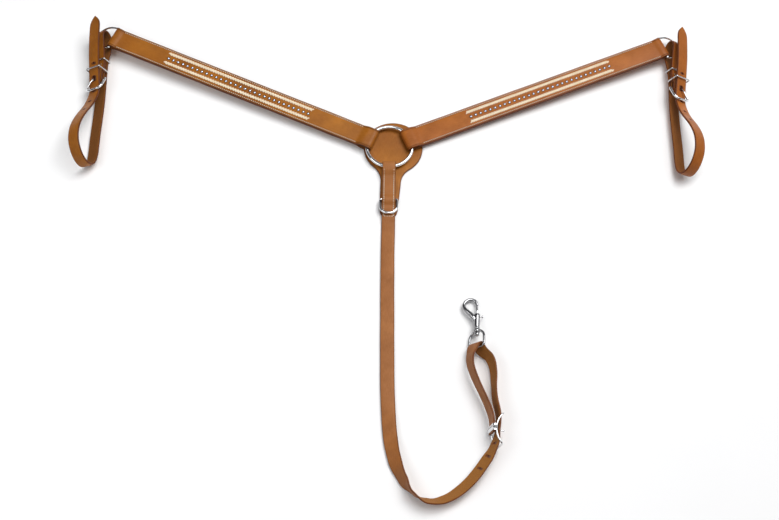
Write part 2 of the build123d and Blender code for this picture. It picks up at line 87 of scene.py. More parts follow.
TAIL_DEE_HALF = 15.9
TAIL_DEE_LENGTH = 31.5
TAIL_DEE_Y = -113.0
FLEX_Y = -178.0
CONWAY_CENTRE = (193.4, -567.2, 18.6)
CONWAY_LEAN = 12.0
CONWAY_TURN = 4.0
CONWAY_RAIL = 3.0
CONWAY_HALF = 28.0
CONWAY_RAIL_HALF = 14.9
CONWAY_BAR_DEPTH = -6.0
CONWAY_END_DEPTH = 6.4
OUTER_LAYER_DEPTH = 0.7
INNER_LAYER_DEPTH = -9.4
SNAP_BAR = (160.4, -413.6, 17.4)
SNAP_TURN = 2.2
SNAP_DROOP = 7.5
SNAP_EYE_LEAN = 45.0
SNAP_EYE_WIRE = 4.4
SNAP_EYE_HALF = 16.8
SNAP_EYE_LENGTH = 33.0
HOLE_RADIUS = 2.1
TONGUE_RADIUS = 1.35
STITCH_PITCH = 3.9
STITCH_LEAN = 9
LACING_PITCH = 2.7
PRESSED_LINE = 0.35       # depth of the line that the stitches lie in
CROWN = 0.15              # how much a strap's middle stands above its edges

POCKET_HALF = RING_WIRE / 2 + 0.45 + PLY / 2
POCKET_CENTRE = 37.1
END_HALF = END_DEE_WIRE / 2 + 0.25 + PLY / 2
DEE_BAR_X = SHOULDER_REACH - END_HALF - PLY / 2
FACE_Z = (PLY + LAYER_GAP) / 2
BACK_Z = GUARD + LAYER_GAP + CENTER_PLY / 2
OVER_Z = BACK_Z + CENTER_PLY + LAYER_GAP
DEE_BAR_Z = GUARD + 0.2 + TAIL_DEE_WIRE / 2
DEE_OVER_Z = DEE_BAR_Z + TAIL_DEE_WIRE / 2 + 0.3 + CENTER_PLY / 2
FLOOR_Z = 0.1 + CENTER_PLY / 2
FOLD_Y = -41.4
STRAP_RISE = math.degrees(math.atan2(SHOULDER_END_HEIGHT - RING_Z,
                                     DEE_BAR_X - POCKET_CENTRE))
SCALE = Matrix.Diagonal((0.001, 0.001, 0.001, 1))
UNMOVED = Matrix.Identity(4)


# ---- places ----
def move(x, y, z):
    return Matrix.Translation((x, y, z))


def turn(degrees, axis):
    return Matrix.Rotation(math.radians(degrees), 4, axis)


def shoulder_place(side):
    lift = move(POCKET_CENTRE, 0, 0) @ turn(-STRAP_RISE, "Y") @ move(-POCKET_CENTRE, 0, 0)
    return move(0, 0, RING_Z) @ turn(SHOULDER_ANGLE[side], "Z") @ lift


def dee_place(side):
    return shoulder_place(side) @ move(DEE_BAR_X, 0, 0) @ turn(END_DEE_DROOP, "Y")


def tug_place(side):
    inward = 1 if side == "left" else -1
    crossing = dee_place(side) @ Vector((TUG_LEG_OUT, inward * END_DEE_HALF, 0))
    roll = turn(-TUG_ROLL * inward, "Y")
    offset = roll @ Vector((0, 0, TUG_LEG_DEPTH))
    return move(crossing.x - offset.x, crossing.y, TUG_HEIGHT) @ roll


def conway_place():
    return move(*CONWAY_CENTRE) @ turn(-CONWAY_TURN, "Z") @ turn(90 + CONWAY_LEAN, "Y")


def snap_place():
    return move(*SNAP_BAR) @ turn(-SNAP_TURN, "Z") @ turn(-SNAP_DROOP, "X")


# ---- curves ----
def natural_spline(points, count):
    """Points along a smooth curve through the given ones, and the given ones' places on it."""
    p = np.array(points, float)
    knots = np.concatenate([[0], np.cumsum(np.linalg.norm(np.diff(p, axis=0), axis=1))])
    n = len(p)
    h = np.diff(knots)
    a = np.zeros((n, n))
    b = np.zeros((n, p.shape[1]))
    a[0, 0] = a[-1, -1] = 1
    for i in range(1, n - 1):
        a[i, i - 1:i + 2] = h[i - 1], 2 * (h[i - 1] + h[i]), h[i]
        b[i] = 6 * ((p[i + 1] - p[i]) / h[i] - (p[i] - p[i - 1]) / h[i - 1])
    m = np.linalg.solve(a, b)
    u = np.linspace(0, knots[-1], count)
    i = np.clip(np.searchsorted(knots, u, side="right") - 1, 0, n - 2)
    hi = h[i][:, None]
    lo = (knots[i + 1] - u)[:, None]
    up = (u - knots[i])[:, None]
    curve = (m[i] * lo ** 3 + m[i + 1] * up ** 3) / (6 * hi)
    curve += (p[i] / hi - m[i] * hi / 6) * lo + (p[i + 1] / hi - m[i + 1] * hi / 6) * up
    return curve, knots / knots[-1]


def arc(centre, radius, start, end, count):
    angles = np.radians(np.linspace(start, end, count))
    return [(centre[0] + radius * math.cos(t), centre[1] + radius * math.sin(t)) for t in angles]


def ease(x0, z0, x1, z1, count):
    """A gentle ramp from one level to another, without its first point."""
    out = []
    for k in range(1, count + 1):
        s = k / count
        out.append((x0 + (x1 - x0) * s, z0 + (z1 - z0) * s * s * (3 - 2 * s)))
    return out


def even(points, pitch):
    """The same line with points a constant distance apart."""
    p = np.array(points, float)
    s = np.concatenate([[0], np.cumsum(np.linalg.norm(np.diff(p, axis=0), axis=1))])
    count = max(2, int(round(s[-1] / pitch)) + 1)
    u = np.linspace(0, s[-1], count)
    return np.stack([np.interp(u, s, p[:, k]) for k in range(p.shape[1])], axis=1)


def rounded_loop(corners, radii, steps=10):
    """A closed loop through flat corners, each rounded off."""
    out = []
    n = len(corners)
    for i in range(n):
        c = np.array(corners[i], float)
        before = np.array(corners[i - 1], float) - c
        after = np.array(corners[(i + 1) % n], float) - c
        before /= np.linalg.norm(before)
        after /= np.linalg.norm(after)
        half = math.acos(max(-1, min(1, float(before @ after)))) / 2
        reach = radii[i] / math.tan(half)
        bisector = (before + after) / np.linalg.norm(before + after)
        centre = c + bisector * radii[i] / math.sin(half)
        start = c + before * reach - centre
        end = c + after * reach - centre
        a0 = math.atan2(start[1], start[0])
        a1 = math.atan2(end[1], end[0])
        delta = (a1 - a0 + math.pi) % (2 * math.pi) - math.pi
        for k in range(steps + 1):
            t = a0 + delta * k / steps
            out.append(centre + radii[i] * np.array([math.cos(t), math.sin(t)]))
    return [(x, y, 0) for x, y in out]


# ---- meshes ----
def mesh_object(name, verts, faces, uvs, sides):
    """A smooth mesh in metres from points in millimetres, with its faces turned outwards."""
    mesh = bpy.data.meshes.new(name)
    mesh.from_pydata(verts, [], faces)
    mesh.transform(SCALE)
    layer = mesh.uv_layers.new(name="strap")
    flat = np.array([uvs[i] for f in faces for i in f], float)
    layer.data.foreach_set("uv", flat.ravel())
    attribute = mesh.attributes.new("side", "FLOAT", "POINT")
    attribute.data.foreach_set("value", np.array(sides, np.float32))
    mesh.update()
    bm = bmesh.new()
    bm.from_mesh(mesh)
    bmesh.ops.recalc_face_normals(bm, faces=bm.faces)
    bm.to_mesh(mesh)
    bm.free()
    mesh.polygons.foreach_set("use_smooth", [True] * len(mesh.polygons))
    obj = bpy.data.objects.new(name, mesh)
    bpy.context.scene.collection.objects.link(obj)
    return obj


class Parts:
    """Verts and faces of many small pieces gathered into one mesh.

    uvs are the place on the strap in tenths of a metre. sides say where a point is on the
    leather: 1 on the grain, 1.5 in a sewn line, 0 on the edge and -1 on the flesh side.
    """

    def __init__(self):
        self.verts = []
        self.faces = []
        self.uvs = []
        self.sides = []

    def add(self, verts, faces, uvs=None, sides=None):
        base = len(self.verts)
        self.verts += [tuple(v) for v in verts]
        self.faces += [tuple(i + base for i in f) for f in faces]
        self.uvs += list(uvs) if uvs is not None else [(0, 0)] * len(verts)
        self.sides += list(sides) if sides is not None else [0] * len(verts)

    def build(self, name, place=UNMOVED):
        verts = [tuple(place @ Vector(v)) for v in self.verts]
        return mesh_object(name, verts, self.faces, self.uvs, self.sides)


def grid_faces(rings, points, closed=False):
    """Quads joining equal rings of points in turn, with the open ends capped."""
    faces = []
    for i in range(rings if closed else rings - 1):
        j = (i + 1) % rings
        for k in range(points):
            l = (k + 1) % points
            faces.append((i * points + k, i * points + l, j * points + l, j * points + k))
    if not closed:
        faces.append(tuple(reversed(range(points))))
        faces.append(tuple((rings - 1) * points + k for k in range(points)))
    return faces


def strap_section(thickness, groove, corner):
    """One half of a strap's section: top and bottom points as (edge distance, height, side)."""
    t = thickness / 2
    r = min(corner, t * 0.8)
    top = [(0.0, t - r, 0.0), (0.3 * r, t - 0.3 * r, 0.4), (r, t, 0.9)]
    if groove:
        top += [(THREAD_INSET - 1.0, t, 1.0), (THREAD_INSET - 0.5, t - groove, 1.5),
                (THREAD_INSET + 0.5, t - groove, 1.5), (THREAD_INSET + 1.0, t + 0.05, 1.0)]
    else:
        top += [(1.6, t, 1.0), (2.0, t - 0.12, 1.0), (2.5, t, 1.0)]
    top += [(6.0, t + CROWN, 1.0)]
    bottom = [(0.0, -t + 0.6 * r, -0.4), (0.3 * r, -t + 0.2 * r, -0.7), (0.8 * r, -t, -1.0),
              (3.0, -t, -1.0)]
    return top, bottom


def strap_mesh(centres, widths, width, thickness, scale=None, waver=0.25, groove=0.0, corner=1.0):
    """A leather strap along centres, lying across widths. scale narrows it point by point,
    and waver is how far its cut edges wander."""
    c = np.array(centres, float)
    n = len(c)
    w = np.array(widths, float)
    along = np.gradient(c, axis=0)
    along /= np.linalg.norm(along, axis=1)[:, None]
    w = w - along * np.sum(w * along, axis=1)[:, None]
    w /= np.linalg.norm(w, axis=1)[:, None]
    normal = np.cross(along, w)
    run = np.concatenate([[0], np.cumsum(np.linalg.norm(np.diff(c, axis=0), axis=1))])
    top, bottom = strap_section(thickness, groove, corner)
    half = width / 2
    profile = [(-half + d, z, s) for d, z, s in top]
    profile += [(0.0, top[-1][1] + 0.05, 1.0)]
    profile += [(half - d, z, s) for d, z, s in reversed(top)]
    profile += [(half - d, z, s) for d, z, s in bottom]
    profile += [(-half + d, z, s) for d, z, s in reversed(bottom)]
    phase = rng.uniform(0, 6)
    verts = []
    uvs = []
    sides = []
    for i in range(n):
        k = 1.0 if scale is None else scale[i]
        wave = math.sin(run[i] / 31 + phase) + 0.6 * math.sin(run[i] / 13.7 + 2 * phase)
        wobble = waver * wave / 2
        for a, z, s in profile:
            verts.append(c[i] + w[i] * (a * k + wobble * min(1, k)) + normal[i] * z)
            uvs.append((run[i] / 100, a / 100))
            sides.append(s)
    return verts, grid_faces(n, len(profile)), uvs, sides


def tube_mesh(points, radii, segments=20, closed=False):
    """Round bar through points. radii is one number or one for each point."""
    p = np.array(points, float)
    n = len(p)
    r = np.full(n, radii, float) if np.isscalar(radii) else np.array(radii, float)
    if closed:
        along = np.roll(p, -1, axis=0) - np.roll(p, 1, axis=0)
    else:
        along = np.gradient(p, axis=0)
    along /= np.linalg.norm(along, axis=1)[:, None]
    side = np.cross(along[0], (0.3, 0.5, 0.81))
    side /= np.linalg.norm(side)
    verts = []
    uvs = []
    run = 0
    for i in range(n):
        side = side - along[i] * (side @ along[i])
        side /= np.linalg.norm(side)
        other = np.cross(along[i], side)
        if i:
            run += np.linalg.norm(p[i] - p[i - 1])
        for k in range(segments):
            t = 2 * math.pi * k / segments
            verts.append(p[i] + r[i] * (math.cos(t) * side + math.sin(t) * other))
            uvs.append((run / 100, k / segments))
    return verts, grid_faces(n, segments, closed), uvs, [0] * len(verts)


def tongue_mesh(points, radius=TONGUE_RADIUS, segments=14, steps=5):
    """A buckle's tongue: a round bar with domed ends."""
    p = np.array(points, float)
    first = (p[0] - p[1]) / np.linalg.norm(p[0] - p[1])
    final = (p[-1] - p[-2]) / np.linalg.norm(p[-1] - p[-2])
    line = []
    radii = []
    slopes = [math.radians(82 - 90 * k / steps) for k in range(steps)]
    for t in slopes:
        line.append(p[0] + first * radius * math.sin(t))
        radii.append(radius * math.cos(t))
    line += list(p)
    radii += [radius] * len(p)
    for t in reversed(slopes):
        line.append(p[-1] + final * radius * math.sin(t))
        radii.append(radius * math.cos(t))
    return tube_mesh(line, radii, segments)


def lathe_mesh(profile, segments=32):
    """A turned piece about the Y axis. profile is (y, radius) from one end to the other."""
    verts = []
    uvs = []
    for y, r in profile:
        for k in range(segments):
            t = 2 * math.pi * k / segments
            verts.append((r * math.cos(t), y, r * math.sin(t)))
            uvs.append((y / 100, k / segments))
    return verts, grid_faces(len(profile), segments), uvs, [0] * len(verts)


def pill_mesh(length, width, height, segments=8, rings=7):
    """A small flattened pill lying along X."""
    verts = []
    for i in range(rings):
        t = math.pi * (i + 0.35) / (rings - 0.3)
        x = -math.cos(t) * length / 2
        r = math.sin(t) ** 0.6
        for k in range(segments):
            a = 2 * math.pi * k / segments
            verts.append((x, math.cos(a) * r * width / 2, math.sin(a) * r * height / 2))
    return np.array(verts), grid_faces(rings, segments)


def cut(obj, cutters):
    """Cuts holes through a mesh and leaves no modifier behind."""
    joined = Parts()
    for verts, faces in cutters:
        joined.add(verts, faces)
    tool = joined.build(obj.name + "_cutter")
    tool.data.attributes.remove(tool.data.attributes["side"])
    modifier = obj.modifiers.new("holes", "BOOLEAN")
    modifier.operation = "DIFFERENCE"
    modifier.solver = "EXACT"
    modifier.object = tool
    bpy.context.view_layer.update()
    depsgraph = bpy.context.evaluated_depsgraph_get()
    mesh = bpy.data.meshes.new_from_object(obj.evaluated_get(depsgraph))
    obj.modifiers.clear()
    obj.data = mesh
    bpy.data.objects.remove(tool)


def hole_cutter(centre, axis, depth, segments=16):
    """A short cylinder for cut(), the size of a punched strap hole."""
    z = Vector(axis).normalized()
    x = z.orthogonal().normalized()
    y = z.cross(x)
    verts = []
    for level in (-depth / 2, depth / 2):
        for k in range(segments):
            t = 2 * math.pi * k / segments
            rim = HOLE_RADIUS * (math.cos(t) * x + math.sin(t) * y)
            verts.append(Vector(centre) + z * level + rim)
    return verts, grid_faces(2, segments)


def slot_cutter(place, centre, outline, depth):
    """A short prism for cut(), along Z of place, with the given flat outline."""
    x0, y0, z0 = centre
    verts = [place @ Vector((x0 + x, y0 + y, z0 + z)) for z in (-depth / 2, depth / 2)
             for x, y in outline]
    return verts, grid_faces(2, len(outline))


# ---- materials ----
class Nodes:
    """Short calls for building one material's node tree."""

    def __init__(self, name):
        self.material = bpy.data.materials.new(name)
        self.material.use_nodes = True
        self.tree = self.material.node_tree
        self.shader = self.tree.nodes["Principled BSDF"]
        self.place = self.node("ShaderNodeTexCoord").outputs["Object"]

    def node(self, kind, inputs=(), **settings):
        """A new node with its settings, and with its inputs fed by name or number."""
        made = self.tree.nodes.new(kind)
        for key, value in settings.items():
            setattr(made, key, value)
        for key, item in dict(inputs).items():
            self.feed(made.inputs[key], item)
        return made

    def feed(self, socket, item):
        """Links a socket to another one, or sets it to a number, vector or colour."""
        if isinstance(item, bpy.types.NodeSocket):
            self.tree.links.new(item, socket)
        elif socket.type == "RGBA":
            socket.default_value = (*item, 1.0)
        else:
            socket.default_value = item

    def noise(self, vector, scale, detail=4.0, rough=0.55):
        inputs = {"Vector": vector, "Scale": scale, "Detail": detail, "Roughness": rough}
        return self.node("ShaderNodeTexNoise", inputs).outputs["Fac"]

    def spread(self, value, low, high, to_low=0.0, to_high=1.0):
        inputs = {"Value": value, "From Min": low, "From Max": high, "To Min": to_low,
                  "To Max": to_high}
        return self.node("ShaderNodeMapRange", inputs).outputs["Result"]

    def math(self, kind, a, b):
        return self.node("ShaderNodeMath", {0: a, 1: b}, operation=kind).outputs[0]

    def mix(self, factor, a, b):
        return self.node("ShaderNodeMix", {0: factor, 6: a, 7: b}, data_type="RGBA").outputs[2]

    def stain(self, colour, mask, amount, tint):
        """Mixes a tint into a colour where the mask is 1, by the given amount."""
        return self.mix(self.math("MULTIPLY", mask, amount), colour, tint)

    def bump(self, height, strength, distance, below=None):
        inputs = {"Height": height, "Strength": strength, "Distance": distance}
        if below is not None:
            inputs["Normal"] = below
        return self.node("ShaderNodeBump", inputs).outputs["Normal"]

    def finish(self, inputs):
        """Feeds the shader and returns the material."""
        for key, item in inputs.items():
            self.feed(self.shader.inputs[key], item)
        return self.material


def shade(colour, share):
    return tuple(share * c for c in colour)


def leather(name, light, dark, edge, flesh, rub, gloss=0.36):
    """Oiled harness leather: smooth grain above, burnished edges, rougher flesh beneath."""
    n = Nodes(name)
    uv = n.node("ShaderNodeUVMap", uv_map="strap").outputs["UV"]
    side = n.node("ShaderNodeAttribute", attribute_name="side").outputs["Fac"]
    along = n.node("ShaderNodeMapping", {"Vector": uv, "Scale": (5, 62, 1)}).outputs["Vector"]
    patches = n.spread(n.noise(n.place, 9, 3, 0.5), 0.30, 0.70)
    mottle = n.spread(n.noise(n.place, 48, 6, 0.62), 0.32, 0.70)
    fine = n.noise(n.place, 520, 5, 0.7)
    streaks = n.spread(n.noise(along, 2.2, 5, 0.62), 0.38, 0.72)
    pores = n.node("ShaderNodeTexVoronoi", {"Vector": n.place, "Scale": 900}).outputs["Distance"]
    # the grain side: patches, mottling, streaks along the strap, pores, its shoulder, sewn line
    colour = n.mix(patches, dark, light)
    colour = n.stain(colour, mottle, 0.42, shade(dark, 0.55))
    colour = n.stain(colour, streaks, 0.30, rub)
    colour = n.stain(colour, n.spread(pores, 0.0, 0.28, 1.0, 0.0), 0.22, shade(dark, 0.35))
    colour = n.stain(colour, n.spread(side, 0.90, 1.0, 1.0, 0.0), 0.75, shade(dark, 0.40))
    colour = n.stain(colour, n.spread(side, 1.05, 1.4), 0.78, shade(dark, 0.30))
    # the burnished edge
    on_edge = n.spread(side, 0.15, 0.80, 1.0, 0.0)
    colour = n.mix(on_edge, colour, n.mix(mottle, shade(edge, 1.8), edge))
    # the flesh side
    under = n.spread(side, -0.75, -0.45, 1.0, 0.0)
    nap = n.spread(n.noise(along, 9, 6, 0.75), 0.3, 0.7)
    fibres = n.mix(n.spread(fine, 0.3, 0.7), flesh, shade(flesh, 0.62))
    colour = n.mix(under, colour, n.stain(fibres, nap, 0.4, shade(flesh, 0.55)))
    matt = n.math("ADD", n.math("MULTIPLY", mottle, 0.45), n.math("MULTIPLY", under, 0.9))
    normal = n.bump(n.noise(along, 7, 5, 0.65), 0.16, 0.0006)
    normal = n.bump(fine, 0.25, 0.0003, normal)
    normal = n.bump(pores, 0.3, 0.0002, normal)
    return n.finish({"Base Color": colour, "Roughness": n.spread(matt, 0, 1.3, gloss, 0.86),
                     "Normal": normal, "Coat Weight": 0.03, "Coat Roughness": 0.25,
                     "Specular IOR Level": 0.20})


def plated(name, tint, rough_low, rough_high, wear=0.06):
    """Bright plated metal with slight waviness and rubbed patches."""
    n = Nodes(name)
    smudge = n.spread(n.noise(n.place, 60, 5, 0.6), 0.3, 0.75)
    scuffs = n.spread(n.noise(n.place, 420, 6, 0.7), 0.3, 0.8)
    rubbed = n.math("MULTIPLY", smudge, scuffs)
    return n.finish({"Base Color": n.stain(tint, smudge, wear, shade(tint, 0.35)),
                     "Roughness": n.spread(rubbed, 0, 0.8, rough_low, rough_high),
                     "Normal": n.bump(n.noise(n.place, 150, 3), 0.05, 0.0004),
                     "Metallic": 1.0})


def soft_fibre(name, light, dark, scale, rough=0.75):
    """Waxed thread or rawhide: twisted fibres, with painted shade in the dips between them."""
    n = Nodes(name)
    patch = n.spread(n.noise(n.place, scale * 0.1, 4, 0.6), 0.3, 0.7)
    wave = n.noise(n.place, scale, 5, 0.7)
    # painted shade where the bumps are low
    hollow_shade = n.spread(wave, 0.35, 0.65, 0.25, 0.0)
    return n.finish({"Base Color": n.mix(hollow_shade, n.mix(patch, dark, light), shade(dark, 0.5)),
                     "Roughness": n.spread(wave, 0.3, 0.7, rough - 0.12, rough + 0.1),
                     "Normal": n.bump(wave, 0.4, 0.0003),
                     "Specular IOR Level": 0.35})


def floor_paper():
    """Plain white seamless paper."""
    n = Nodes("white_paper")
    tone = n.mix(n.spread(n.noise(n.place, 3, 2), 0.3, 0.7), (0.93, 0.93, 0.93), (0.95, 0.95, 0.95))
    return n.finish({"Base Color": tone, "Roughness": 0.9, "Specular IOR Level": 0.1})


# each leather's light and dark grain, edge, flesh side and rubbed streaks
TAN = leather("leather_tan", (0.410, 0.140, 0.0090), (0.225, 0.060, 0.0025),
              (0.070, 0.016, 0.003), (0.270, 0.098, 0.018), (0.54, 0.24, 0.05))
# the right side's leather: more orange than the tan and brighter; the extra brightness is painted light for the key
# lamp on that side
ORANGE_LIT_SIDE = leather("leather_orange_lit_side", (0.450, 0.132, 0.0130), (0.280, 0.070, 0.0050),
                 (0.090, 0.020, 0.003), (0.290, 0.100, 0.018), (0.58, 0.23, 0.05))
ROSE = leather("leather_rose", (0.400, 0.148, 0.036), (0.265, 0.086, 0.016),
               (0.105, 0.030, 0.007), (0.400, 0.158, 0.030), (0.52, 0.23, 0.09), gloss=0.46)
NICKEL = plated("nickel_plate", (0.80, 0.81, 0.82), 0.07, 0.20)
WIRE = plated("polished_wire", (0.72, 0.72, 0.73), 0.10, 0.24, 0.1)
# the spots' nickel is tinted blue: a painted bluish reflection for their bright highlight
SPOT = plated("spot_metal", (0.74, 0.82, 0.95), 0.05, 0.14, 0.10)
RAWHIDE = soft_fibre("rawhide", (0.95, 0.84, 0.66), (0.84, 0.68, 0.46), 700)
THREAD = soft_fibre("waxed_thread", (0.97, 0.90, 0.76), (0.86, 0.74, 0.56), 1500)
# near-black painted shade, for the awl holes and the rings round the spots
DARK = soft_fibre("awl_shadow", (0.045, 0.015, 0.004), (0.030, 0.010, 0.003), 900, 0.85)
CAST = plated("cast_nickel", (0.40, 0.40, 0.41), 0.10, 0.26, 0.35)
# the right side gets the brighter copy, with the key lamp's light painted in
SKIN = {"left": TAN, "right": ORANGE_LIT_SIDE}


def dress(obj, material, body=None, nodes=()):
    """Gives a piece its material, its body and the CAD nodes it stands for."""
    obj.data.materials.clear()
    obj.data.materials.append(material)
    if body:
        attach(obj, body)
    if nodes:
        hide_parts(*nodes)
    return obj


def make(name, data, place, material, body, nodes=()):
    """A finished piece from one mesh, or from a list of them, put in its place."""
    parts = Parts()
    for piece in data if isinstance(data, list) else [data]:
        parts.add(*piece)
    return dress(parts.build(name, place), material, body, nodes)


def shoulder_strap(profile, pitch):
    """A grooved shoulder layer drawn from the side in X and Z, in its own frame."""
    centres = [(x, 0, z) for x, z in even(profile, pitch)]
    return strap_mesh(centres, [(0, 1, 0)] * len(centres), SHOULDER_WIDTH, PLY,
                      groove=PRESSED_LINE)


# ---- chest ----
def build_ring():
    steps = 160
    angles = [2 * math.pi * k / steps for k in range(steps)]
    circle = [(RING_RADIUS * math.cos(t), RING_RADIUS * math.sin(t), RING_Z) for t in angles]
    make("chest_ring", tube_mesh(circle, RING_WIRE / 2, 32, True), UNMOVED, NICKEL,
         "ring", ["center_ring"])


def guard_outline():
    """Keyhole outline: disc, flared throat and tapered tail, going round once."""
    radius, flare, neck = 56.7, 38.0, 19.5
    side_x = neck + flare
    drop = math.sqrt((radius + flare) ** 2 - side_x ** 2)
    meet = math.degrees(math.atan2(-drop, side_x))
    disc = arc((0, 2), radius, meet, 90, 60)
    throat = arc((side_x, 2 - drop), flare, 180, meet + 180, 16)
    tail = [(0, -151.5), (5, -151.2), (9, -149.8), (13, -146), (16, -141), (17.1, -134),
            (18.4, -105)]
    right = even(tail + throat + disc[1:], 3.0)
    left = [(-x, y) for x, y in right[::-1]][1:-1]
    return [tuple(p) for p in right] + left


# the guard's section from its back round its edge to its front: inset, height and side
GUARD_SECTION = ((3, 0, -1), (0.8, 0, -0.8), (0.1, 0.4, 0), (0, 1.5, 0), (0.2, 2.5, 0.3),
                 (0.9, 3, 0.9), (2.2, 3, 1), (2.6, 2.86, 1), (3.0, 3, 1), (5.0, 3.02, 1))


def build_guard():
    """Rounded-edge plate of leather with a pressed line inside its edge."""
    outline = np.array(guard_outline())
    inward = np.roll(outline, 1, axis=0) - np.roll(outline, -1, axis=0)
    inward = np.stack([inward[:, 1], -inward[:, 0]], axis=1)
    inward /= np.linalg.norm(inward, axis=1)[:, None]
    if (inward[0] @ np.array([0, 1])) < 0:
        inward = -inward
    rings = []
    for inset, z, side in GUARD_SECTION:
        rings.append([(x + i * inset, y + j * inset, z, side)
                      for (x, y), (i, j) in zip(outline, inward)])
    verts = [(x, y, z) for ring in rings for x, y, z, s in ring]
    sides = [s for ring in rings for x, y, z, s in ring]
    faces = grid_faces(len(rings), len(outline))
    uvs = [(v[1] / 100, v[0] / 100) for v in verts]
    skew = move(0, -140, 0) @ turn(-3.0, "Z") @ move(0, 140, 0)
    make("guard_leather", (verts, faces, uvs, sides), skew, TAN, "center_drop",
         ["ring_guard"])


HANGER_FRONT = 34         # the profile's last points, from the top of the fold onwards


def hanger_profile():
    """Side profile of the centre strap, folded over the ring and down over the small dee."""
    dee = -TAIL_DEE_Y
    radius = RING_Z - BACK_Z
    back = [(dee - 4.5, BACK_Z), (60, BACK_Z), (-FOLD_Y, BACK_Z)]
    fold = arc((-FOLD_Y, RING_Z), radius, 270, 90, 14)
    front = [(50, fold[-1][1] - 0.3)]
    front += ease(50, fold[-1][1] - 0.3, 66, OVER_Z, 8)
    front += [(dee - 9, OVER_Z)] + ease(dee - 9, OVER_Z, dee - 2, DEE_OVER_Z, 6)
    front += [(dee + 2.5, DEE_OVER_Z)] + ease(dee + 2.5, DEE_OVER_Z, dee + 14, BACK_Z, 8)
    front += [(150, BACK_Z)] + ease(150, BACK_Z, 164, FLOOR_Z, 6)
    return back + fold[1:] + front


def floor_run():
    """Middle points, width directions and lean of the girth strap up to its buckle."""
    bend = FLEX_Y - 1.6
    run = [(0, bend, 0), (0, -250, 0), (0.5, -321, 0), (2, -420, 0), (4, -510, 0),
           (8.5, -572, 10), (16.5, -618, 30), (31, -655, 58), (49, -680, 96), (75, -693, 122),
           (103, -689, 133), (129, -673, 138), (154, -648, 138), (174, -620, 135)]
    lift = [0] * 9 + [0.4, 1.2, 2.6, 4.6, 6.6]
    out = []
    for (x, y, lean), up in zip(run, lift):
        tip = math.radians(lean)
        half_height = abs(math.sin(tip)) * CENTER_WIDTH / 2 + abs(math.cos(tip)) * CENTER_PLY / 2
        out.append(((x, y, 0.1 + half_height + up), tip))
    return out


def tilted(angle):
    """A width direction that stands upright, then leans towards +X by the angle."""
    lean = math.radians(angle)
    return np.array((math.sin(lean), 0, math.cos(lean)))


def girth_line(count=420, guide_count=800):
    """Middle line and width directions of the girth strap from the flat bend to its end, and
    the share of its length at which it crosses the buckle's bar."""
    stations = floor_run()
    centres = [np.array(c) for c, tip in stations]
    guide, marks = natural_spline(centres, guide_count)
    widths = []
    for (c, tip), mark in zip(stations, marks):
        i = min(max(int(round(mark * (guide_count - 1))), 1), guide_count - 2)
        heading = guide[i + 1] - guide[i - 1]
        inward = np.array((-heading[1], heading[0], 0))
        inward /= np.linalg.norm(inward)
        widths.append(inward * math.cos(tip) + np.array((0, 0, math.sin(tip))))
    place = conway_place()
    for along, offset, lean in ((-30, -5.2, 19), (0, 0, 0), (27, 0, 0)):
        centres.append(np.array(place @ Vector((0, along, OUTER_LAYER_DEPTH + offset))))
        widths.append(tilted(CONWAY_LEAN + lean))
    loop = [(191.6, -514, 16.2, 12), (190.2, -488, 15.2, 12), (190.2, -460, 14.2, 18),
            (181.0, -429, 13.4, 26), (166.9, -414.2, 13.2, 45), (160.7, -407.2, 17.4, 45),
            (154.4, -414.2, 21.4, 45), (148.2, -432, 19.6, 24), (152.8, -462, 18.0, 16),
            (166.5, -496, 17.8, 12), (179.0, -527, 18.2, 12)]
    for x, y, z, lean in loop:
        centres.append(np.array((x, y, z)))
        widths.append(tilted(lean))
    for along, offset in ((14, -0.9), (5, -0.4), (-8, -0.2)):
        centres.append(np.array(place @ Vector((0, along, INNER_LAYER_DEPTH + offset))))
        widths.append(tilted(CONWAY_LEAN))
    curve, marks = natural_spline(centres, count)
    across = []
    for i in range(count):
        share = i / (count - 1)
        index = min(int(np.searchsorted(marks, share + 1e-9, side="right")) - 1, len(marks) - 2)
        part = (share - marks[index]) / (marks[index + 1] - marks[index])
        part = part * part * (3 - 2 * part)
        across.append(widths[index] * (1 - part) + widths[index + 1] * part)
    along = np.gradient(curve, axis=0)
    along /= np.linalg.norm(along, axis=1)[:, None]
    for i in range(count):
        flat = across[i] - along[i] * (across[i] @ along[i])
        flat /= np.linalg.norm(flat)
        normal = np.cross(along[i], flat)
        need = abs(flat[2]) * CENTER_WIDTH / 2 + abs(normal[2]) * CENTER_PLY / 2 + 0.1
        curve[i][2] = max(curve[i][2], need)
    return curve, np.array(across), marks[len(stations) + 1]


def build_center_and_girth():
    """One strap: folded over the ring, down the middle and round through the snap."""
    drop = even(hanger_profile() + [(-FLEX_Y, FLOOR_Z)], 2.5)
    centres = [(0, -x, z) for x, z in drop]
    widths = [(1, 0, 0)] * len(centres)
    curve, across, at_bar = girth_line()
    centres += [tuple(p) for p in curve]
    widths += [tuple(w) for w in across]
    data = strap_mesh(centres, widths, CENTER_WIDTH, CENTER_PLY, corner=0.9)
    strap = make("center_and_girth_strap", data, UNMOVED, ROSE, None)
    cutters = []
    total = np.sum(np.linalg.norm(np.diff(curve, axis=0), axis=1))
    for back in (26, 52, 78):
        i = int(round((at_bar - back / total) * (len(curve) - 1)))
        cutters.append(hole_cutter(curve[i], np.cross(curve[i + 1] - curve[i - 1], across[i]), 8))
    place = conway_place()
    through = place.to_3x3() @ Vector((0, 0, 1))
    cutters.append(hole_cutter(place @ Vector((0, 0, OUTER_LAYER_DEPTH)), through, 8))
    cut(strap, cutters)
    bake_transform(strap)
    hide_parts("center_strap", "girth_strap")


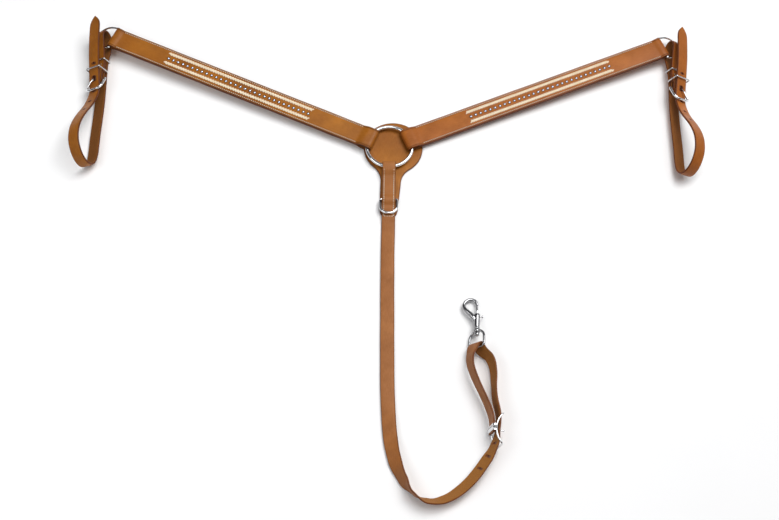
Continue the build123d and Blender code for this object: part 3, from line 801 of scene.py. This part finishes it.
class Seam:
    """Rows of raised stitches, with dark pills of painted shade for the awl holes between them."""

    def __init__(self):
        self.threads = Parts()
        self.holes = Parts()

    def row(self, start, end, height, place=UNMOVED, lean=STITCH_LEAN, rise=None):
        """Stitches between two points of the XY plane of place, on height or on rise(y)."""
        a, b = Vector((*start, height)), Vector((*end, height))
        count = max(1, int((b - a).length / STITCH_PITCH))
        heading = math.degrees(math.atan2(b.y - a.y, b.x - a.x))
        thread, thread_faces = pill_mesh(2.4, 1.45, 1.05)
        # a dark pill of painted shade stands for each awl hole
        hole, hole_faces = pill_mesh(2.1, 1.7, 0.55)
        for k in range(count):
            wander = rng.uniform(-3, 3)
            at = a.lerp(b, (k + 0.5) / count)
            gap = a.lerp(b, (k + 1) / count)
            if rise:
                at.z, gap.z = rise(at.y), rise(gap.y)
            for parts, shape, faces, spot, angle in (
                    (self.threads, thread, thread_faces, at, heading + lean + wander),
                    (self.holes, hole, hole_faces, gap, heading)):
                whole = place @ move(*spot) @ turn(angle, "Z")
                parts.add([whole @ Vector(v) for v in shape], faces)

    def finish(self, name, body, node, place=UNMOVED):
        dress(self.threads.build(f"{name}_stitches", place), THREAD, body, [node])
        # the awl holes are dark pills of painted shade
        dress(self.holes.build(f"{name}_awl_hole_shade", place), DARK, body)


def build_center_stitching():
    seam = Seam()
    row = CENTER_WIDTH / 2 - THREAD_INSET
    front = np.array([(-x, z) for x, z in hanger_profile()[-HANGER_FRONT:]])[::-1]
    first, last = -52, -149

    def surface(y):
        return float(np.interp(y, front[:, 0], front[:, 1])) + CENTER_PLY / 2 - 0.05

    for x in (-row, row):
        seam.row((x, first), (x, last), 0, rise=surface)
    seam.row((-row, last), (row, last), 0, lean=0, rise=surface)
    seam.finish("center", "center_drop", "center_stitching")


def build_tail_dee():
    half, length = TAIL_DEE_HALF, TAIL_DEE_LENGTH
    corners = [(-half, 0), (half, 0), (half, -length), (-half, -length)]
    loop = rounded_loop(corners, [3.6, 3.6, half - 0.3, half - 0.3], 12)
    place = move(0, TAIL_DEE_Y, DEE_BAR_Z) @ turn(-9, "X")
    make("tail_dee_wire", tube_mesh(loop, TAIL_DEE_WIRE / 2, 24, True), place, NICKEL,
         "tail_dee", ["tail_dee"])


# ---- shoulders ----
def shoulder_profile():
    """Face strap from its turned-back end at the ring to its turned-back end at the dee."""
    c, h = POCKET_CENTRE, POCKET_HALF
    d, e = DEE_BAR_X, END_HALF
    line = [(c + 27 + TURN_BACK, -FACE_Z), (c + 27, -FACE_Z)]
    line += ease(c + 27, -FACE_Z, c + 12.5, -h, 8) + [(c, -h)]
    line += arc((c, 0), h, 270, 90, 14)[1:]
    line += [(c + 12.5, h)] + ease(c + 12.5, h, c + 27, FACE_Z, 8)
    line += [(d - 13, FACE_Z)] + ease(d - 13, FACE_Z, d - 5.5, e, 8) + [(d, e)]
    line += arc((d, 0), e, 90, -90, 12)[1:]
    line += [(d - 5.5, -e)] + ease(d - 5.5, -e, d - 13, -FACE_Z, 8)
    line += [(d - 12 - TURN_BACK, -FACE_Z)]
    return line


def braid(y, start, length):
    """Flat two-strand rawhide lacing: short slanted lozenges that overlap along a row."""
    parts = Parts()
    shape, faces = pill_mesh(6.6, 3.1, 2.1, 10, 9)
    for k in range(int((length - 6) / LACING_PITCH) + 1):
        hand = 1 if k % 2 else -1
        off = hand * 1.2 + rng.uniform(-0.08, 0.08)
        at = move(start + 3.2 + k * LACING_PITCH, y + off, 0.75)
        whole = at @ turn(-hand * 30 + rng.uniform(-2, 2), "Z") @ turn(hand * 7, "X")
        parts.add([whole @ Vector(v) for v in shape], faces)
    return parts


def spot_row():
    """Domed spots, and dark rings of painted shade on the leather around and under them."""
    domes = Parts()
    shade_rings = Parts()
    pitch = (TRIM_LENGTH - 14) / (SPOT_COUNT - 1)
    dome = [(0.0, 2.4), (0.3, 2.45), (0.55, 2.35), (0.95, 2.1), (1.4, 1.6), (1.75, 0.95),
            (1.9, 0.3)]
    # a thin dark disc, wider than the dome: painted shade round each spot
    shade_ring = [(0.0, 3.3), (0.18, 3.25), (0.3, 3.0), (0.34, 2.3)]
    for k in range(SPOT_COUNT):
        along = TRIM_START + 7 + pitch * k + rng.uniform(-0.15, 0.15)
        at = move(along, rng.uniform(-0.15, 0.15), 0)
        for parts, profile in ((domes, dome), (shade_rings, shade_ring)):
            verts, faces = lathe_mesh(profile, 24)[:2]
            parts.add([at @ turn(90, "X") @ Vector(v) for v in verts], faces)
    return domes, shade_rings


def build_shoulder(side):
    place = shoulder_place(side)
    body = f"{side}_shoulder"
    skin = SKIN[side]
    face = FACE_Z + PLY / 2
    front = shoulder_strap(shoulder_profile(), 3.0)
    make(f"{side}_shoulder_face", front, place, skin, body,
         [f"{side}_shoulder_front"])
    start = POCKET_CENTRE + 27 + TURN_BACK + 0.3
    end = DEE_BAR_X - 12 - TURN_BACK - 0.3
    back = shoulder_strap([(end, -FACE_Z), (start, -FACE_Z)], 4.0)
    make(f"{side}_shoulder_back", back, place, skin, body,
         [f"{side}_shoulder_lining"])
    seam = Seam()
    first, last = POCKET_CENTRE + 26, DEE_BAR_X - 14
    for y in (-1, 1):
        edge = y * (SHOULDER_WIDTH / 2 - THREAD_INSET)
        seam.row((first, edge), (last, edge), face - 0.15, lean=STITCH_LEAN * y)
    seam.finish(f"{side}_shoulder", body, f"{side}_shoulder_stitching", place)
    upper = LACING_ROW if side == "right" else -LACING_ROW
    on_face = place @ move(0, 0, face)
    for label, y in (("upper", upper), ("lower", -upper)):
        lacing = braid(y, TRIM_START, TRIM_LENGTH).build(f"{side}_lacing_{label}", on_face)
        dress(lacing, RAWHIDE, body, [f"{side}_rawhide_{label}"])
    domes, shade_rings = spot_row()
    dress(domes.build(f"{side}_domes", on_face), SPOT, body, [f"{side}_spots"])
    # dark rings of painted shade around the domes
    dress(shade_rings.build(f"{side}_dome_shade_rings", on_face), DARK, body)
    half, far = END_DEE_HALF, END_DEE_LEG + END_DEE_HALF
    corners = [(0, -half), (far, -half), (far, half), (0, half)]
    loop = rounded_loop(corners, [3.2, half - 0.3, half - 0.3, 3.2], 18)
    make(f"{side}_dee_wire", tube_mesh(loop, END_DEE_WIRE / 2, 24, True), dee_place(side),
         NICKEL, f"{side}_end_dee", [f"{side}_end_dee"])


# ---- tugs ----
TUG_TIP = 40              # the profile's points on the pointed end, which are kept finer


def tug_profile():
    """Side profile from the point, round the loop and the bight, to the turned-back end."""
    tip = [(53.5, 44.5), (26, 42.0), (-19, 36.4), (-59, 28.6), (-83, 23.6), (-108, 19.4)]
    loop = [(-128, 23.0), (-149, 31.0), (-168, 41.5), (-188, 51.0), (-208, 57.0), (-226, 57.8),
            (-240, 55.0), (-252, 49.0), (-262, 41.0), (-269, 31.5), (-272.5, 21.0), (-270, 10.5),
            (-261, 3.2), (-248, 0.2)]
    rear = [(-225, 0.0), (-180, 0.0), (-129, 0.0), (-84, 2.6), (-49, 4.8), (-29, 4.2), (-6, 1.0)]
    bight = [(9, 1.0), (20.5, 4.6), (28, 12.5), (28.5, 22.0), (21, 28.0), (9, 26.0), (-8, 21.3)]
    middle = [(-33, 16.6), (-48, 15.2), (-62, 15.6), (-70, 17.0)]
    bend = FRAME_WIRE / 2 + 0.2 + TUG_PLY / 2
    onto_heel = [(-HEEL_DROP, HEEL_DEPTH + bend)]
    curve, _ = natural_spline(tip + loop + rear + bight + middle + onto_heel, 700)
    line = [tuple(p) for p in curve]
    line += arc((-HEEL_DROP, HEEL_DEPTH), bend, 90, 270, 14)[1:]
    tail = [line[-1], (-69, 10.0), (-60, 11.6), (-48, 11.5), (-40, 11.9)]
    back, _ = natural_spline(tail, 30)
    return line + [tuple(p) for p in back[1:]]


def point_scale(line):
    """Narrows the strap to an English point at its start."""
    run = np.concatenate([[0], np.cumsum(np.linalg.norm(np.diff(line, axis=0), axis=1))])
    shares = [0.02, 0.07, 0.19, 0.46, 0.77, 0.92, 0.99, 1.0]
    return np.interp(run, [0, 0.6, 2, 5.5, 11, 16, 22, 26], shares)


def build_tug(side):
    place = tug_place(side)
    hand = 1 if side == "left" else -1
    body = f"{side}_tug"
    skin = SKIN[side]
    profile = tug_profile()
    fine = even(profile[:TUG_TIP], 1.0)
    line = np.concatenate([fine[:-1], even(profile[TUG_TIP - 1:], 2.4)])
    centres = [(0, y, z) for y, z in line]
    data = strap_mesh(centres, [(1, 0, 0)] * len(centres), TUG_WIDTH, TUG_PLY,
                      point_scale(line), corner=1.1)
    strap = make(f"{side}_tug_leather", data, place, skin, None)
    axis = place.to_3x3() @ Vector((0, 0.15, 1))
    cutters = []
    for along, out in ((-51, 30.0), (-110, 19.5), (-137, 26.0), (-162, 38.0)):
        cutters.append(hole_cutter(place @ Vector((0, along, out)), axis, 12))
    tongue_slot = ((-2.6, -5.0), (2.6, -5.0), (3.3, 0), (2.6, 5.4), (-2.6, 5.4), (-3.3, 0))
    cutters.append(slot_cutter(place, (0, -HEEL_DROP - 4, 24), tongue_slot, 10))
    heel_slot = ((-4, -8), (4, -8), (4, 6.5), (0, 8), (-4, 6.5))
    cutters.append(slot_cutter(place, (0, -HEEL_DROP + 1.5, HEEL_DEPTH), heel_slot, 16))
    cut(strap, cutters)
    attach(strap, body)
    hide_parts(f"{side}_tug_strap")
    seam = Seam()
    for along in (-54, -46):
        seam.row((-8.0, along), (8.0, along), 17.1, place=place, lean=0)
    seam.finish(f"{side}_tug", body, f"{side}_tug_stitching")
    build_buckle(side, place, hand)


def keeper_loop(low, high, half):
    """A rounded wire rectangle standing across the strap."""
    corners = [(-half, low), (half, low), (half, high), (-half, high)]
    return [(x, 0, y) for x, y, z in rounded_loop(corners, [2.4] * 4, 8)]


def build_buckle(side, place, hand):
    half, length = FRAME_HALF, FRAME_LENGTH
    heel = place @ move(0, -HEEL_DROP, HEEL_DEPTH)
    corners = [(half, 0), (-half, 0), (-half, -length), (half, -length)]
    loop = rounded_loop(corners, [3.4, 3.4, 12.0, 12.0], 12)
    make(f"{side}_buckle_wire", tube_mesh(loop, FRAME_WIRE / 2, 22, True),
         heel @ turn(-FRAME_PITCH, "X"), NICKEL, f"{side}_buckle",
         [f"{side}_buckle_frame"])
    curl = [(0, y, z) for y, z in arc((0, 0), FRAME_WIRE / 2 + 1.15, -150, 60, 14)]
    prong = [curl[-1], (0, -1.0, 7.6), (0.0, -4.2, 11.6), (-1.5 * hand, -10.5, 15.4),
             (-5.2 * hand, -19, 17.0), (-9.6 * hand, -28, 17.2)]
    line, _ = natural_spline(prong, 40)
    tongue = [tuple(p) for p in curl[:-1]] + [tuple(p) for p in line]
    make(f"{side}_tongue_wire", tongue_mesh(tongue), heel, WIRE,
         f"{side}_tongue", [f"{side}_buckle_tongue"])
    for label, along, low, high, reach in (("front", 17, 7.8, 33.2, 16.5),
                                           ("rear", 43, 0.9, 20.1, 14.0)):
        wire = tube_mesh(keeper_loop(low, high, reach), KEEPER_WIRE / 2, 16, True)
        make(f"{side}_{label}_keeper_wire", wire, place @ move(0, -HEEL_DROP + along, 0), WIRE,
             f"{side}_{label}_keeper", [f"{side}_{label}_keeper"])


# ---- girth buckle and snap ----
def build_conway():
    place = conway_place()
    rail, bow, half = CONWAY_RAIL / 2, CONWAY_RAIL_HALF, CONWAY_HALF
    rise = CONWAY_END_DEPTH - CONWAY_BAR_DEPTH
    bend = (half ** 2 + rise ** 2) / (2 * rise)
    corners = [(-bow, -half), (bow, -half), (bow, half), (-bow, half)]
    loop = [(x, y) for x, y, z in rounded_loop(corners, [4.0] * 4, 8)]
    full = even(loop + [loop[0]], 2.0)[:-1]
    arched = [(x, y, CONWAY_BAR_DEPTH + bend - math.sqrt(bend ** 2 - y ** 2)) for x, y in full]
    bar = [(x, 0, CONWAY_BAR_DEPTH) for x in (-bow, 0, bow)]
    pieces = [tube_mesh(arched, rail, 18, True), tube_mesh(bar, rail, 16)]
    # the flat keeper under the inner layer
    floor = INNER_LAYER_DEPTH - CENTER_PLY / 2 - 0.9
    lip = [(bow + 1.0, CONWAY_BAR_DEPTH + 0.9)]
    line = lip + [(bow + 1.0, floor + 2)] + arc((bow - 1.5, floor + 1.9), 2.5, 0, -90, 6)
    line += [(-x, z) for x, z in reversed(line)]
    centres = [(x, 0, z) for x, z in even(line, 1.2)]
    pieces.append(strap_mesh(centres, [(0, 1, 0)] * len(centres), 12.0, 1.3, waver=0, corner=0.5))
    make("conway_buckle", pieces, place, NICKEL, "girth", ["conway_frame"])
    clasp = [(0, y, z + CONWAY_BAR_DEPTH) for y, z in arc((0, 0), rail + 0.75, -60, 90, 12)]
    stations = [clasp[-1], (0, 0.0, CONWAY_BAR_DEPTH + 4.5), (0, 0, 2), (0, -0.3, 12.0)]
    prong, _ = natural_spline(stations, 24)
    line = clasp[:-1] + [tuple(p) for p in prong[1:]]
    make("conway_tongue", tongue_mesh(line), place, WIRE, "girth",
         ["conway_prong"])


def build_snap():
    place = snap_place()
    half, length = SNAP_EYE_HALF, SNAP_EYE_LENGTH
    corners = [(-half, 0), (half, 0), (half, length), (-half, length)]
    eye = rounded_loop(corners, [3.0, 3.0, half - 0.3, half - 0.3], 14)
    boss = [(length - 3.2, 2.7), (length - 3.2, 5.0), (length - 2.5, 6.0), (length + 1.8, 6.0),
            (length + 2.7, 5.0), (length + 2.7, 2.7)]
    lean = place @ turn(-SNAP_EYE_LEAN, "Y")
    arch = tube_mesh(eye, 1.08 * SNAP_EYE_WIRE / 2, 22, True)
    make("snap_eye_ring", [arch, lathe_mesh(boss)], lean, CAST, "snap_eye",
         ["snap_eye"])
    start = length + 3.0
    swivel = ((-13.5, 0.6), (-13.4, 3.0), (-12.6, 4.1), (-11.5, 4.4), (-7.2, 4.4), (-6.4, 4.1),
              (-6.1, 3.2), (-6.1, 2.5), (1, 2.5))
    post = lathe_mesh([(start + y, r) for y, r in swivel])
    turned = ((0, 2.6), (0, 4.6), (0.6, 5.4), (3.4, 5.5), (4.2, 4.9), (5.4, 4.8), (6.2, 5.2),
              (24, 5.4), (26, 5.8), (30, 5.8), (31, 5.3), (31.2, 3.4), (29, 3.0))
    barrel = lathe_mesh([(start + y, r) for y, r in turned])
    hook = [(-1.5, 51, 2.2), (-5.0, 58, 3.8), (-10.5, 65.5, 4.0), (-17, 72, 3.5),
            (-21.8, 77.5, 3.0), (-24, 83, 2.7), (-23, 89, 2.6), (-19.5, 94, 2.6), (-14, 97.2, 2.7), (-8, 97.2, 2.8),
            (-2.8, 94, 2.8), (-0.6, 89.5, 2.6), (0, 85.7, 2.3)]
    curve, _ = natural_spline(hook, 80)
    arm = tube_mesh([(x, y, 0) for x, y, r in curve], [1.12 * r for x, y, r in curve], 24)
    make("snap_hook_body", [post, barrel, arm], place, CAST, "snap_body",
         ["snap_body"])
    pin = lathe_mesh([(56, 2.2), (84.6, 2.2), (85.1, 1.7)], 24)
    thumb_y = 62.6
    stem = tube_mesh([(x, thumb_y, 0) for x in (3, 6, 10.2)], 1.1, 12)
    knob = [(x, thumb_y, 0) for x in (8.6, 8.9, 9.6, 10.6, 11.2, 11.5)]
    thumb = tube_mesh(knob, [1.4, 2.3, 2.8, 2.7, 2.0, 0.8], 20)
    make("snap_bolt_pin", [pin, stem, thumb], place, WIRE, "snap_bolt", ["snap_bolt"])


# ---- the scene ----
CAMERA_TILT = 26.0        # from looking straight down
CAMERA_AZIMUTH = 2.6
CAMERA_ROLL = 3.75
CAMERA_PLACE = (-0.04257, -1.25176, 2.08161)
CAMERA_LENS = 57.86
FLOOR_GAP = 0.0012        # keeps the floor just clear of the leather
# heights on the surroundings, from 0 at the bottom to 1 at the top, and their brightness
WORLD_BANDS = ((0.0, 0.62), (0.36, 0.62), (0.46, 0.02), (0.68, 0.02), (0.76, 0.34), (0.90, 0.34),
               (0.96, 0.02))
WORLD_DARK_SIDE = (0.10, 0.10, 0.11, 1)
# each soft box's place, size and power; all of them point at the collar
LIGHTS = (("key", (1.1, 0.9, 2.4), (1.3, 1.3), 30), ("fill", (-1.6, -0.9, 1.9), (1.6, 1.2), 17),
          ("top", (0.1, 0.1, 2.9), (0.9, 1.8), 14))
LIGHT_TARGET = Vector((0, -0.1, 0))
SKY_FROM = (0.45, 0.25, 1.0)
SKY_STRENGTH = 1.35
SKY_ANGLE = 50


def link_new(name, data):
    """A new object in the scene."""
    obj = bpy.data.objects.new(name, data)
    bpy.context.scene.collection.objects.link(obj)
    return obj


def add_camera():
    tilt, azimuth, roll = (math.radians(a) for a in (CAMERA_TILT, CAMERA_AZIMUTH, CAMERA_ROLL))
    forward = Vector((math.sin(azimuth) * math.sin(tilt), math.cos(azimuth) * math.sin(tilt),
                      -math.cos(tilt)))
    level = Vector((math.cos(azimuth), -math.sin(azimuth), 0))
    above = level.cross(forward)
    right = level * math.cos(roll) + above * math.sin(roll)
    up = above * math.cos(roll) - level * math.sin(roll)
    data = bpy.data.cameras.new("camera")
    data.lens = CAMERA_LENS
    data.sensor_width = 36.0
    camera = link_new("camera", data)
    facing = Matrix((right, up, -forward)).transposed().to_4x4()
    camera.matrix_world = Matrix.Translation(CAMERA_PLACE) @ facing
    bpy.context.scene.camera = camera


def add_light(name, place, size, power):
    """A soft box that points at the collar."""
    data = bpy.data.lights.new(name, "AREA")
    data.shape = "RECTANGLE"
    data.size, data.size_y = size
    data.energy = power
    light = link_new(name, data)
    light.location = place
    light.rotation_euler = (LIGHT_TARGET - Vector(place)).to_track_quat("-Z", "Y").to_euler()


def add_sky():
    """Very soft even light over the whole floor."""
    data = bpy.data.lights.new("sky", "SUN")
    data.energy = SKY_STRENGTH
    data.angle = math.radians(SKY_ANGLE)
    light = link_new("sky", data)
    light.rotation_euler = Vector(SKY_FROM).to_track_quat("Z", "Y").to_euler()


def add_floor():
    bm = bmesh.new()
    bmesh.ops.create_grid(bm, x_segments=8, y_segments=8, size=6)
    mesh = bpy.data.meshes.new("floor")
    bm.to_mesh(mesh)
    bm.free()
    floor = link_new("floor", mesh)
    floor.location = (0, 0, -FLOOR_GAP)
    mesh.materials.append(floor_paper())


def add_world():
    """Banded surroundings, dimmer on the -X side, that bright metal can mirror."""
    world = bpy.data.worlds.new("studio")
    world.use_nodes = True
    tree = world.node_tree
    background = tree.nodes["Background"]
    place = tree.nodes.new("ShaderNodeTexCoord")
    split = tree.nodes.new("ShaderNodeSeparateXYZ")
    tree.links.new(place.outputs["Generated"], split.inputs[0])
    ramp = tree.nodes.new("ShaderNodeValToRGB")
    while len(ramp.color_ramp.elements) < len(WORLD_BANDS):
        ramp.color_ramp.elements.new(0.5)
    for element, (height, tone) in zip(ramp.color_ramp.elements, WORLD_BANDS):
        element.position = height
        element.color = (tone, 1.01 * tone, 1.03 * tone, 1)
    tree.links.new(split.outputs["Z"], ramp.inputs["Fac"])
    across = tree.nodes.new("ShaderNodeMapRange")
    for key, number in (("From Min", -0.7), ("From Max", 0.5)):
        across.inputs[key].default_value = number
    tree.links.new(split.outputs["X"], across.inputs["Value"])
    blend = tree.nodes.new("ShaderNodeMix")
    blend.data_type = "RGBA"
    blend.inputs[6].default_value = WORLD_DARK_SIDE
    tree.links.new(across.outputs["Result"], blend.inputs[0])
    tree.links.new(ramp.outputs["Color"], blend.inputs[7])
    tree.links.new(blend.outputs[2], background.inputs["Color"])
    background.inputs["Strength"].default_value = 0.8
    bpy.context.scene.world = world


build_ring()
build_guard()
build_center_and_girth()
build_center_stitching()
build_tail_dee()
for side in ("left", "right"):
    build_shoulder(side)
    build_tug(side)
build_conway()
build_snap()
add_camera()
add_world()
add_floor()
for light in LIGHTS:
    add_light(*light)
add_sky()
bpy.context.scene.view_settings.view_transform = "Standard"
